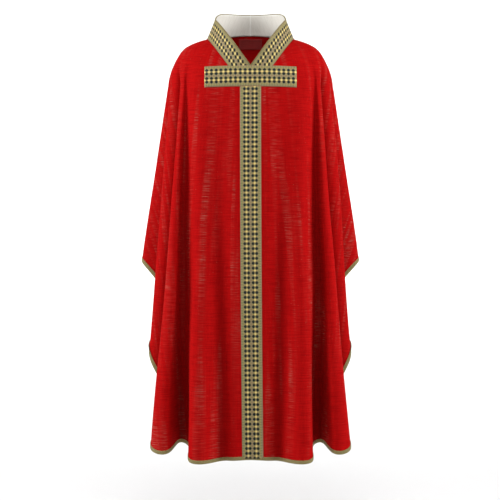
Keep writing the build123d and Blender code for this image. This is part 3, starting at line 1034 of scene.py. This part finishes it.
@dataclass
class Panel(Piece):
    """The front or back panel, cut in one and hung from the shoulder seams."""

    side: Side
    columns: int = 371
    rows: int = 120
    crowding: float = 1.35
    thickness: float = 1.2 * MILLIMETRE
    seam_dip: float = 1.1 * MILLIMETRE
    flat_width: float = 1.60
    flat_length: float = 1.25
    flat_area: float = 1.32
    # The next three sizes set the painted fold shade: the width of the smoothing, and the depths where
    # the shade starts and where it is full
    bell: float = 55 * MILLIMETRE
    shade_from: float = 1.5 * MILLIMETRE
    shade_depth: float = 26 * MILLIMETRE

    def places(self) -> np.ndarray:
        """Places round the panel, closer together beside the seams."""
        edge = 1 - np.array([0.0, 0.0015, 0.003, 0.005, 0.0075])
        inner = np.linspace(-0.989, 0.989, self.columns - 2 * len(edge))
        return np.concatenate([-edge, inner, edge[::-1]])

    def surface(self) -> np.ndarray:
        """Grid of points from the neck and the seams down to the hem."""
        around = self.places()
        top = self.drape.neck(self.side, around)[:, 2]
        hem = self.drape.hem(self.side, around)
        down = np.linspace(0.0, 1.0, self.rows)[:, None] ** self.crowding
        return self.drape.grid(self.side, around, top + down * (hem - top))

    def fold_shade_mask(self, grid: np.ndarray, normals: np.ndarray) -> np.ndarray:
        """Painted shade for the folds: how far the cloth lies behind its own smoothed rows, from 0 to 1.

        Each row is averaged with a bell-shaped weight over its neighbours, and the step
        from the cloth out to that average, less a small starting depth, is divided by the depth
        at which the shade is full; the cloth's colour darkens towards near black by this share.
        """
        reach = self.columns * self.bell / (2 * self.flat_width)
        offset = np.arange(-int(3 * reach), int(3 * reach) + 1)
        weight = np.exp(-((offset / reach) ** 2) / 2)
        rows = np.pad(grid, ((0, 0), (len(offset) // 2,) * 2, (0, 0)), mode="edge")
        smooth = sum(w * rows[:, k : k + self.columns] for k, w in enumerate(weight / weight.sum()))
        behind = ((smooth - grid) * normals).sum(-1)
        return np.clip((behind - self.shade_from) / self.shade_depth, 0.0, 1.0)

    def build(self) -> Cut:
        """Makes the panel, with its two side edges turned in at the seams."""
        grid = self.surface()
        normals = outward_normals(grid)
        reach = np.minimum(run_lengths(grid, 1), run_lengths(grid[:, ::-1], 1)[:, ::-1])
        dip = self.seam_dip * np.exp(-((reach / (2.2 * MILLIMETRE)) ** 2))
        outer = grid - normals * dip[..., None]
        inner = outer - normals * self.thickness
        girth = run_lengths(grid, 1)
        girth = girth - girth[:, [self.columns // 2]]
        fall = grid[0, :, 2] - grid[..., 2]
        slope = (run_lengths(grid, 0) - fall).mean(1, keepdims=True)
        uv = np.stack([girth, slope - grid[..., 2]], -1)
        name = f"{self.side.value}_panel"
        mesh = self.sewing.slab(name + "_cloth", outer, inner, uv)
        # Stores the painted fold shade at each vertex of both faces, for the cloth's colour to darken by
        self.sewing.mark(mesh, PAINTED_FOLD_SHADE, np.tile(self.fold_shade_mask(grid, normals).ravel(), 2))
        piece = self.sewing.add(name, "cloth", mesh, CLOTH)
        rests = ("collar_braid_left_band", "collar_braid_right_band")
        return Cut(piece, (self.flat_width, self.flat_length), "hung", rests, self.flat_area)


@dataclass
class Band(Piece):
    """A straight length of braid on a panel, with a line of stitches along each edge."""

    side: Side
    part: str
    upright: bool
    outset: float = 0.4 * MILLIMETRE
    thickness: float = 1.1 * MILLIMETRE
    spacing: float = 4 * MILLIMETRE
    droop: float = 1.6 * MILLIMETRE
    lean: float = 6.5 * MILLIMETRE

    @property
    def node(self) -> str:
        """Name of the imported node."""
        return f"{self.side.value}_{self.part}"

    def corners(self) -> tuple[float, float, float, float]:
        """Left, right, bottom and top of the band at rest."""
        low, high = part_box(self.node)
        return low.x, high.x, low.z, high.z

    def cloth(self, across: np.ndarray, down: np.ndarray) -> tuple[np.ndarray, np.ndarray]:
        """Cloth under the band and its normals.

        A cross bar's ends droop with the square of the way out. An upright band leans to
        one side with the square of the way down.

        Args:
            across: Shares of the way from the band's left to its right.
            down: Shares of the way from its top to its bottom.
        """
        left, right, bottom, top = self.corners()
        share, fall = np.meshgrid(across, down)
        x = left + share * (right - left)
        z = top + fall * (bottom - top)
        if self.upright:
            tilt = self.lean if self.side is Side.FRONT else self.lean * 0.4
            x = x + tilt * fall**2
        else:
            z = z - self.droop * (2 * share - 1) ** 2
        grid = self.drape.seen_from(self.side, x, z)
        return grid, outward_normals(grid)

    def build(self) -> Cut:
        """Makes the band; its edges roll over and its middle is slightly full."""
        left, right, bottom, top = self.corners()
        across = np.linspace(0, 1, max(17, round((right - left) / self.spacing) + 1))
        down = np.linspace(0, 1, max(17, round((top - bottom) / self.spacing) + 1))
        cloth, normals = self.cloth(across, down)
        share = (across if self.upright else down[:, None]) + 0 * cloth[..., 0]
        inner = cloth + normals * self.outset
        outer = inner + normals * (self.thickness * (0.55 + 0.45 * bulge(share)))[..., None]
        over, along = run_lengths(cloth, 1), run_lengths(cloth, 0)
        uv = np.stack([over, along] if self.upright else [along, over], -1)
        mesh = self.sewing.slab(self.node + "_band", outer, inner, uv)
        piece = self.sewing.add(self.node, "band", mesh, BRAID)
        size = (right - left, top - bottom)
        return Cut(piece, size, "laid", (f"{self.side.value}_panel_cloth",))

    def stitch_lines(self) -> tuple[np.ndarray, np.ndarray, np.ndarray]:
        """Starts, ends and normals of the stitches along the band's two long edges."""
        left, right, bottom, top = self.corners()
        wide, tall = right - left, top - bottom
        length, width = (tall, wide) if self.upright else (wide, tall)
        count = int((length - 2 * STITCH_INSET) / STITCH_PITCH)
        first = STITCH_INSET + np.arange(count) * STITCH_PITCH
        run = np.stack([first, first + STITCH_LENGTH]).T.ravel() / length
        edges = np.array([STITCH_INSET, width - STITCH_INSET]) / width
        if self.upright:
            cloth, normals = self.cloth(edges, run)
            cloth, normals = cloth.transpose(1, 0, 2), normals.transpose(1, 0, 2)
        else:
            cloth, normals = self.cloth(run, edges)
        raised = cloth + normals * (self.outset + self.thickness)
        return (
            raised[:, 0::2].reshape(-1, 3),
            raised[:, 1::2].reshape(-1, 3),
            normals[:, 0::2].reshape(-1, 3),
        )


@dataclass
class CrossStitching:
    """The stitches that hold one side's cross bar and orphrey."""

    sewing: Sewing
    side: Side
    bands: tuple[Band, ...]

    def build(self) -> bpy.types.Object:
        """Makes all the stitches of the two bands as one mesh."""
        lines = [band.stitch_lines() for band in self.bands]
        starts, ends, normals = (np.concatenate([line[k] for line in lines]) for k in range(3))
        node = f"{self.side.value}_cross_stitching"
        mesh = self.sewing.stitches(node + "_threads", starts, ends, normals)
        return self.sewing.add(node, "threads", mesh, THREAD)


@dataclass
class Hem(Piece):
    """The narrow braid folded over the hem of one panel, its facing and its stitches."""

    side: Side
    samples: int = 900
    fine_samples: int = 4001
    ends: float = 0.9985
    width: float = 9 * MILLIMETRE
    stitch_pitch: float = 3.0 * MILLIMETRE

    def path(self, count: int) -> tuple[np.ndarray, np.ndarray, np.ndarray]:
        """The hem with its downward and outward directions, at even lengths along it."""
        fine = np.linspace(-self.ends, self.ends, self.fine_samples)
        line = self.drape.plan(self.side, fine, self.drape.hem(self.side, fine))
        length = run_lengths(line[None], 1)[0]
        around = np.interp(np.linspace(0, length[-1], count), length, fine)
        hem = self.drape.hem(self.side, around)
        heights = hem + np.array([[6.0], [3.0], [0.0]]) * MILLIMETRE
        grid = self.drape.grid(self.side, around, heights)
        return (grid[-1], *edge_directions(grid))

    def build(self) -> None:
        """Makes the braid as a J that holds the cloth's edge, and a flat facing inside."""
        path, down, out = self.path(self.samples)
        w = self.width / MILLIMETRE
        braid = np.array(
            [
                (-w, 0.10), (-w - 0.1, 0.7), (-w + 0.6, 1.15), (-w * 0.72, 1.35), (-w * 0.45, 1.45),
                (-w * 0.2, 1.40), (0.1, 1.15), (0.9, 0.5), (1.15, -0.4), (1.0, -1.2), (0.4, -1.8),
                (-0.5, -2.1), (-0.9, -1.7), (-0.4, -1.35), (0.15, -1.25), (0.3, -0.6), (0.15, 0.1),
                (-w * 0.5, 0.10),
            ]
        )
        facing = np.array(
            [
                (-w, -1.3), (-w - 0.1, -1.7), (-w * 0.8, -2.0), (-w * 0.5, -2.1), (-w * 0.25, -2.0),
                (-1.1, -1.8), (-1.0, -1.3), (-w * 0.5, -1.3),
            ]
        )
        hem = f"{self.side.value}_hem_"
        for part, suffix, profile, finish in (
            ("braid", "edge", braid, EDGING),
            ("facing", "strip", facing, TAPE),
        ):
            mesh = self.sewing.carried(f"{hem}{part}_{suffix}", path, down, out, profile * MILLIMETRE)
            self.sewing.add(hem + part, suffix, mesh, finish)
        length = run_lengths(path[None], 1)[0][-1]
        path, down, out = self.path(int(length / self.stitch_pitch))
        slant = unit(np.gradient(path, axis=0)) * 0.8 * MILLIMETRE
        starts = path - down * (w + 0.9) * MILLIMETRE + out * 0.1 * MILLIMETRE - slant
        ends = path - down * (w - 1.5) * MILLIMETRE + out * 1.15 * MILLIMETRE + slant
        mesh = self.sewing.stitches(hem + "stitching_threads", starts, ends, out)
        self.sewing.add(hem + "stitching", "threads", mesh, THREAD)


@dataclass
class Collar(Piece):
    """Half of the standing collar: braid outside, canvas between and lining inside."""

    hand: Hand
    side_lean: float = 23 * MILLIMETRE
    side_rise: float = 55 * MILLIMETRE
    back_rise: float = 84 * MILLIMETRE
    back_depth: float = 82 * MILLIMETRE
    tuck: float = 5.5 * MILLIMETRE
    squareness: float = 8.0
    columns: int = 180
    rows: int = 15
    flat: tuple[float, float] = (0.34, 0.066)

    def lower_edge(self, turn: np.ndarray) -> tuple[np.ndarray, np.ndarray]:
        """Neckline points, and each one's depth as a share of the centre line's."""
        points = []
        for side, part in ((Side.FRONT, turn[turn < 90]), (Side.BACK, turn[turn >= 90])):
            around = part / 90 if side is Side.FRONT else (180 - part) / 90
            line = self.drape.neck(side, around)
            centre = self.drape.neck(side, np.zeros(1))[0, 1]
            points.append((line, line[:, 1] / centre))
        return np.concatenate([p[0] for p in points]), np.concatenate([p[1] for p in points])

    def surface(self, turn: np.ndarray, rise: np.ndarray) -> np.ndarray:
        """Outer face of the collar.

        The upper edge repeats the neckline's plan, drawn in towards the neck. In front
        its height is straight from the V to the side. Behind it rises at once to the
        height of the centre back, as the square root of 1 - share^squareness.

        Args:
            turn: Degrees from the centre front, 0 to 180.
            rise: Shares of the way from the lower edge to the upper one.

        Returns:
            Grid of points, as rise by turn by 3.
        """
        lower, depth_share = self.lower_edge(turn)
        share = np.clip(np.abs(lower[:, 0]) / self.drape.neck_half_width, 0, 1)
        front = turn < 90
        x = (self.drape.neck_half_width - self.side_lean) * share
        throat = self.drape.plan(Side.FRONT, np.zeros(1), np.array([-self.drape.v_drop]))[0, 1]
        y = np.where(front, throat + self.tuck, self.back_depth) * depth_share
        v = -self.drape.v_drop + (self.drape.v_drop + self.side_rise) * share
        bow = self.side_rise + (self.back_rise - self.side_rise) * np.sqrt(1 - share**self.squareness)
        upper = np.stack([x, y, np.where(front, v, bow)], -1)
        grid = lower + rise[:, None, None] * (upper - lower)
        return grid * np.array([self.hand.sign, 1.0, 1.0])

    def spread(self, count: int) -> np.ndarray:
        """Degrees round the collar, from just off the centre front to the centre back."""
        half = count // 2
        return np.concatenate([np.linspace(0.05, 89.9, half), np.linspace(90.1, 179.95, half)])

    def layer(
        self, name: str, finish: Finish, low: float, high: float, fullness: float
    ) -> bpy.types.Object:
        """One layer between two outsets, in millimetres."""
        turn, rise = self.spread(self.columns), np.linspace(0.0, 1.0, self.rows)
        grid = self.surface(turn, rise)
        normals = outward_normals(grid)
        full = bulge(rise)[:, None, None]
        outer = grid + normals * (high + fullness * (full - 1)) * MILLIMETRE
        inner = grid + normals * low * MILLIMETRE
        length = run_lengths(grid, 1)
        length = length - length[:, [len(turn) // 2]]
        uv = np.stack([rise[:, None] * BRAID_WIDTH + 0 * length, length], -1)
        node = f"{name}_{self.hand.value}"
        mesh = self.sewing.slab(node, outer, inner, uv)
        return self.sewing.add(node, "band" if finish is BRAID else "cloth", mesh, finish)

    def edge(self) -> None:
        """Thin rolled binding along the collar's upper edge."""
        turn = self.spread(320)
        grid = self.surface(turn, np.array([0.96, 0.98, 1.0]))
        up, out = edge_directions(grid)
        angle = np.linspace(0, 2 * math.pi, 12, endpoint=False)
        profile = np.stack([1.35 * np.cos(angle) + 0.6, 1.75 * np.sin(angle) - 1.0], -1)
        node = f"collar_edge_binding_{self.hand.value}"
        mesh = self.sewing.carried(node + "_roll", grid[-1], up, out, profile * MILLIMETRE)
        self.sewing.add(node, "roll", mesh, EDGING)

    def stitching(self) -> None:
        """Two lines of stitches, along both edges of the collar braid above the bar."""
        fine = self.spread(1200)
        starts, ends, normals = [], [], []
        inset = STITCH_INSET / BRAID_WIDTH
        for rise in (inset, 1 - inset):
            near = np.array([rise - 0.02, rise, rise + 0.02])
            grid = self.surface(fine, near)
            out, line = outward_normals(grid)[1], grid[1]
            length = run_lengths(line[None], 1)[0]
            clear = np.interp(-self.drape.v_drop + 1 * MILLIMETRE, line[:600, 2], length[:600])
            first = np.arange(clear, length[-1] - STITCH_LENGTH, STITCH_PITCH)
            for places, store in ((first, starts), (first + STITCH_LENGTH, ends)):
                point = np.stack([np.interp(places, length, line[:, k]) for k in range(3)], -1)
                facing = unit(np.stack([np.interp(places, length, out[:, k]) for k in range(3)], -1))
                store.append(point + facing * 0.05 * MILLIMETRE)
            normals.append(facing)
        node = f"collar_stitching_{self.hand.value}"
        mesh = self.sewing.stitches(
            node + "_threads", np.concatenate(starts), np.concatenate(ends), np.concatenate(normals)
        )
        self.sewing.add(node, "threads", mesh, THREAD)

    def build(self) -> list[Cut]:
        """Makes the collar's layers, its edge and its stitches."""
        braid = self.layer("collar_braid", BRAID, -1.1, 0.0, 0.4)
        canvas = self.layer("collar_interlining", CANVAS, -1.6, -1.15, 0.0)
        lining = self.layer("collar_lining", LINING, -2.3, -1.65, 0.0)
        self.edge()
        self.stitching()
        pairs = ((braid, canvas), (canvas, lining), (lining, canvas))
        return [Cut(layer, self.flat, "folded", (under.name,)) for layer, under in pairs]


@dataclass
class SeamTape(Piece):
    """Narrow stay tape inside one shoulder seam."""

    hand: Hand
    width: float = 12 * MILLIMETRE
    outset: float = -3.0 * MILLIMETRE
    thickness: float = 0.6 * MILLIMETRE
    rows: int = 120
    columns: int = 9
    searched: tuple[float, float] = (0.80, 1.0)
    fine_samples: int = 201

    def build(self) -> Cut:
        """Makes the tape, folded over the seam: half lies on each panel."""
        node = f"shoulder_seam_tape_{self.hand.value}"
        low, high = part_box(node)
        heights = np.linspace(high.z, low.z, self.rows)
        across = np.linspace(-self.width / 2, self.width / 2, self.columns)
        fine = self.hand.sign * np.linspace(*self.searched, self.fine_samples)
        rows = []
        for height in heights:
            row = []
            for side in Side:
                level = self.drape.plan(side, fine, np.full_like(fine, height))
                reach = run_lengths(level[::-1][None], 1)[0]
                wanted = -across[across < 0] if side is Side.FRONT else across[across >= 0]
                at = np.interp(wanted, reach, fine[::-1])
                row.append(self.drape.plan(side, at, np.full_like(at, height)))
            rows.append(np.concatenate(row))
        grid = np.array(rows)
        normals = outward_normals(grid)
        outer = grid + normals * self.outset
        inner = outer - normals * self.thickness
        uv = np.stack([run_lengths(grid, 1), run_lengths(grid, 0)], -1)
        mesh = self.sewing.slab(node + "_strip", outer, inner, uv)
        piece = self.sewing.add(node, "strip", mesh, TAPE)
        length = float(run_lengths(grid, 0)[-1, self.columns // 2])
        return Cut(piece, (self.width, length), "hung", ("front_panel_cloth", "back_panel_cloth"))


@dataclass
class NeckLabel(Piece):
    """Blank woven label inside the back of the neck, with turned edges."""

    outset: float = -1.4 * MILLIMETRE
    thickness: float = 0.5 * MILLIMETRE
    rim: float = 0.35 * MILLIMETRE
    turned_in: float = 3 * MILLIMETRE
    columns: int = 57
    rows: int = 25

    def build(self) -> Cut:
        """Makes the label a little thicker where its edges are turned under."""
        low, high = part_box("neck_label")
        wide, tall = np.linspace(low.x, high.x, self.columns), np.linspace(high.z, low.z, self.rows)
        across, heights = np.meshgrid(wide, tall)
        cloth = self.drape.seen_from(Side.BACK, across, heights)
        normals = outward_normals(cloth)
        edge = np.minimum(np.abs(across - low.x), np.abs(high.x - across))
        edge = np.minimum(edge, np.minimum(np.abs(heights - low.z), np.abs(high.z - heights)))
        turned = 1 - eased(self.turned_in, self.turned_in + 2 * MILLIMETRE, edge)
        outer = cloth + normals * self.outset
        inner = outer - normals * (self.thickness + self.rim * turned)[..., None]
        uv = np.stack([across, heights], -1)
        mesh = self.sewing.slab("neck_label_patch", outer, inner, uv)
        piece = self.sewing.add("neck_label", "patch", mesh, LABEL)
        return Cut(piece, (high.x - low.x, high.z - low.z), "laid", ("back_panel_cloth",))


def build_camera() -> None:
    """The camera, level with the middle of the garment and in front of it."""
    data = bpy.data.cameras.new("camera")
    distance, view_width, sensor = 4.10, 1.4706, 36.0
    aside, level = -0.0015, -0.619
    data.sensor_width = sensor
    data.lens = sensor * distance / view_width
    camera = bpy.data.objects.new("camera", data)
    camera.location = (aside, -distance, level)
    camera.rotation_euler = (math.pi / 2, 0.0, 0.0)
    bpy.context.scene.collection.objects.link(camera)
    bpy.context.scene.camera = camera


@dataclass(frozen=True)
class SoftLight:
    """One large soft lamp that faces the middle of the garment."""

    name: str
    place: tuple[float, float, float]
    size: float
    power: float
    aim: tuple[float, float, float] = (0.0, 0.0, -0.6)

    def build(self) -> None:
        """Adds the lamp."""
        data = bpy.data.lights.new(self.name, "AREA")
        data.shape, data.size, data.energy = "DISK", self.size, self.power
        lamp = bpy.data.objects.new(self.name, data)
        lamp.location = self.place
        aim = Vector(self.aim) - Vector(self.place)
        lamp.rotation_euler = aim.to_track_quat("-Z", "Y").to_euler()
        bpy.context.scene.collection.objects.link(lamp)


@dataclass(frozen=True)
class Studio:
    """A white room: a floor that curves up into a wall, soft lamps and a dim sky."""

    floor: float = -1.50
    front: float = -6.0
    wall: float = 6.0
    height: float = 6.0
    half_width: float = 7.0
    curve: float = 1.0
    sky: float = 0.03
    white: tuple = (0.9, 0.9, 0.9, 1.0)
    rough: float = 0.9
    lamps: tuple[SoftLight, ...] = (
        SoftLight("left", (-3.9, -0.80, 1.1), 2.0, 195.0),
        SoftLight("right", (3.9, -0.80, 1.1), 2.0, 185.0),
        SoftLight("front", (0.0, -4.6, 1.8), 1.0, 7.0),
        SoftLight("top", (0.0, -1.5, 1.5), 0.9, 26.0, (0.0, -0.1, -0.1)),
        SoftLight("backdrop_left", (-2.8, 3.2, 0.6), 1.4, 100.0, (-0.7, 6.0, -0.4)),
        SoftLight("backdrop_right", (2.8, 3.2, 0.6), 1.4, 100.0, (0.7, 6.0, -0.4)),
    )

    def backdrop(self) -> bpy.types.Mesh:
        """The floor and the wall as one strip, with a quarter circle between them."""
        turn = np.linspace(0.0, math.pi / 2, 24)
        depth = np.concatenate([[self.front], self.wall + self.curve * (np.sin(turn) - 1.0), [self.wall]])
        rise = np.concatenate([[0.0], self.curve * (1.0 - np.cos(turn)), [self.height]]) + self.floor
        x, y = np.meshgrid([-self.half_width, self.half_width], depth)
        grid = np.stack([x, y, rise[:, None] + 0 * x], -1)
        sewing = Sewing()
        corners = sewing.quads(len(depth), 2, wrap=False)
        faces = (corners[..., 0] * 2 + corners[..., 1])[:, ::-1]
        uv = grid[..., :2][corners[..., 0], corners[..., 1]]
        return sewing.mesh("backdrop", grid.reshape(-1, 3), faces.tolist(), uv)

    def build(self) -> None:
        """Adds the sky, the backdrop and the lamps."""
        scene = bpy.context.scene
        scene.view_settings.view_transform = "Standard"
        world = bpy.data.worlds.new("studio")
        world.use_nodes = True
        sky = world.node_tree.nodes["Background"]
        sky.inputs["Color"].default_value = (1.0, 1.0, 1.0, 1.0)
        sky.inputs["Strength"].default_value = self.sky
        scene.world = world
        backdrop = bpy.data.objects.new("backdrop", self.backdrop())
        paper = bpy.data.materials.new("paper")
        paper.use_nodes = True
        shader = paper.node_tree.nodes["Principled BSDF"]
        shader.inputs["Base Color"].default_value = self.white
        shader.inputs["Roughness"].default_value = self.rough
        backdrop.data.materials.append(paper)
        scene.collection.objects.link(backdrop)
        for lamp in self.lamps:
            lamp.build()


def main() -> None:
    """Builds the garment, its studio and its camera."""
    logging.basicConfig(level=logging.INFO, format="%(name)s: %(message)s")
    build_camera()
    Studio().build()
    drape, sewing = Drape.from_frame(), Sewing()
    cuts = []
    for side in Side:
        cuts.append(Panel(drape, sewing, side).build())
        bar, orphrey = ("cross_bar", False), ("orphrey", True)
        bands = tuple(Band(drape, sewing, side, *kind) for kind in (bar, orphrey))
        cuts += [band.build() for band in bands]
        CrossStitching(sewing, side, bands).build()
        Hem(drape, sewing, side).build()
    for hand in Hand:
        cuts += Collar(drape, sewing, hand).build()
        cuts.append(SeamTape(drape, sewing, hand).build())
    cuts.append(NeckLabel(drape, sewing).build())
    for cut in cuts:
        cut.declare()


if __name__ == "__main__":
    main()
